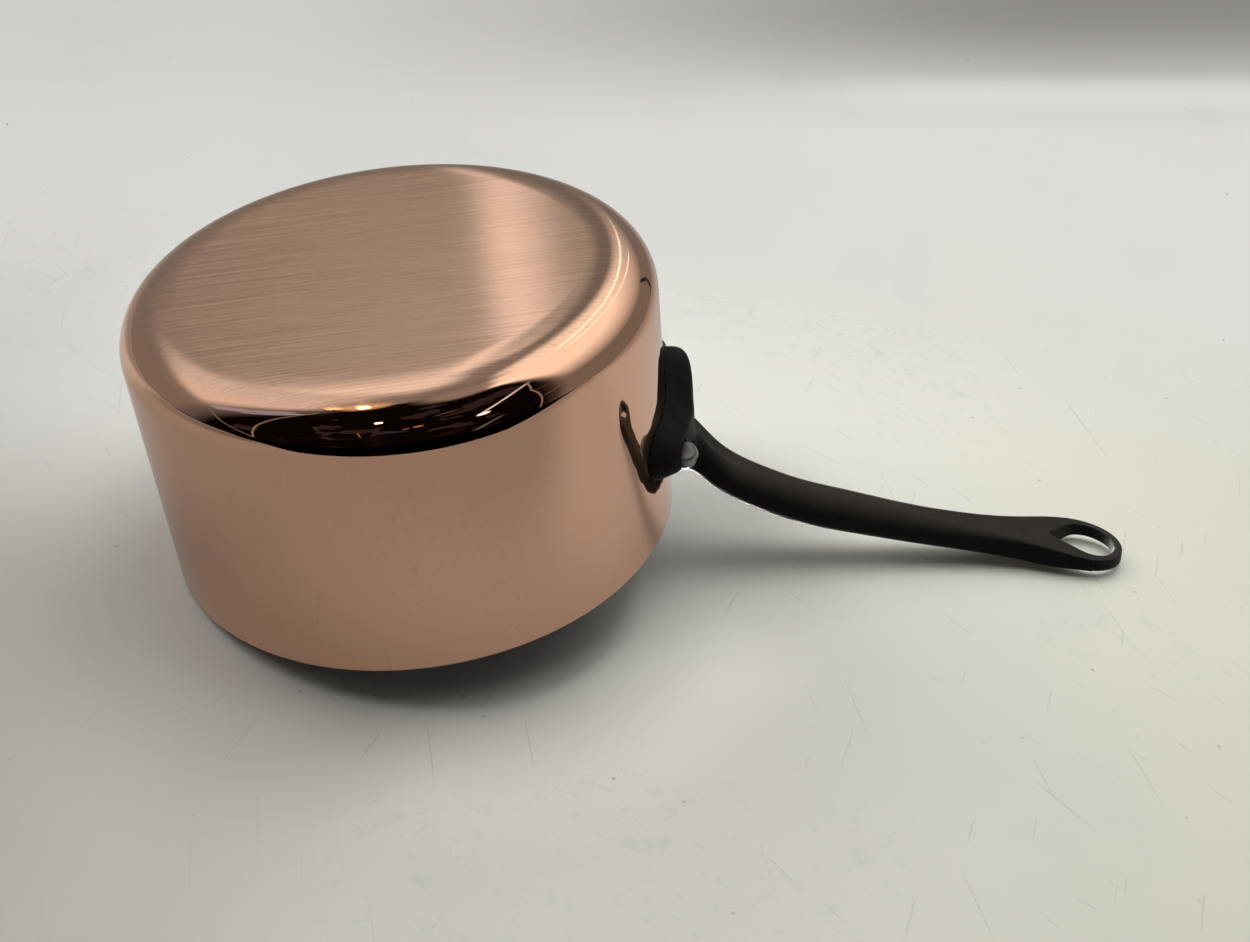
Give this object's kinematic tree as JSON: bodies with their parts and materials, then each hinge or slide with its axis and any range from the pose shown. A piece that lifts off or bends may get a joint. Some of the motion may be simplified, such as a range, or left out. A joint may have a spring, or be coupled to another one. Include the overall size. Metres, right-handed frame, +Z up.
{
  "type": "saucepan",
  "caption": "Straight-sided round copper saucepan with a bonded steel lining and a long upswept cast-iron handle riveted to the wall, with a teardrop hanging eye.",
  "frame": {"origin": "centre of the flat underside of the base", "axes": "+Z up out of the mouth along the pan's axis, +X along the handle away from the pan, +Y completes a right-handed frame"},
  "size_m": [0.3994, 0.2, 0.189],
  "materials": {
    "copper": null,
    "lining": "satin, bonded to the copper",
    "cast_iron": "matte black-brown",
    "rivet_steel": "smooth, slightly dull"
  },
  "bodies": {
    "root": {"copper_body": "copper", "steel_lining": "lining", "iron_handle": "cast_iron", "rivet_near": "rivet_steel", "rivet_far": "rivet_steel"}
  },
  "joints": []
}
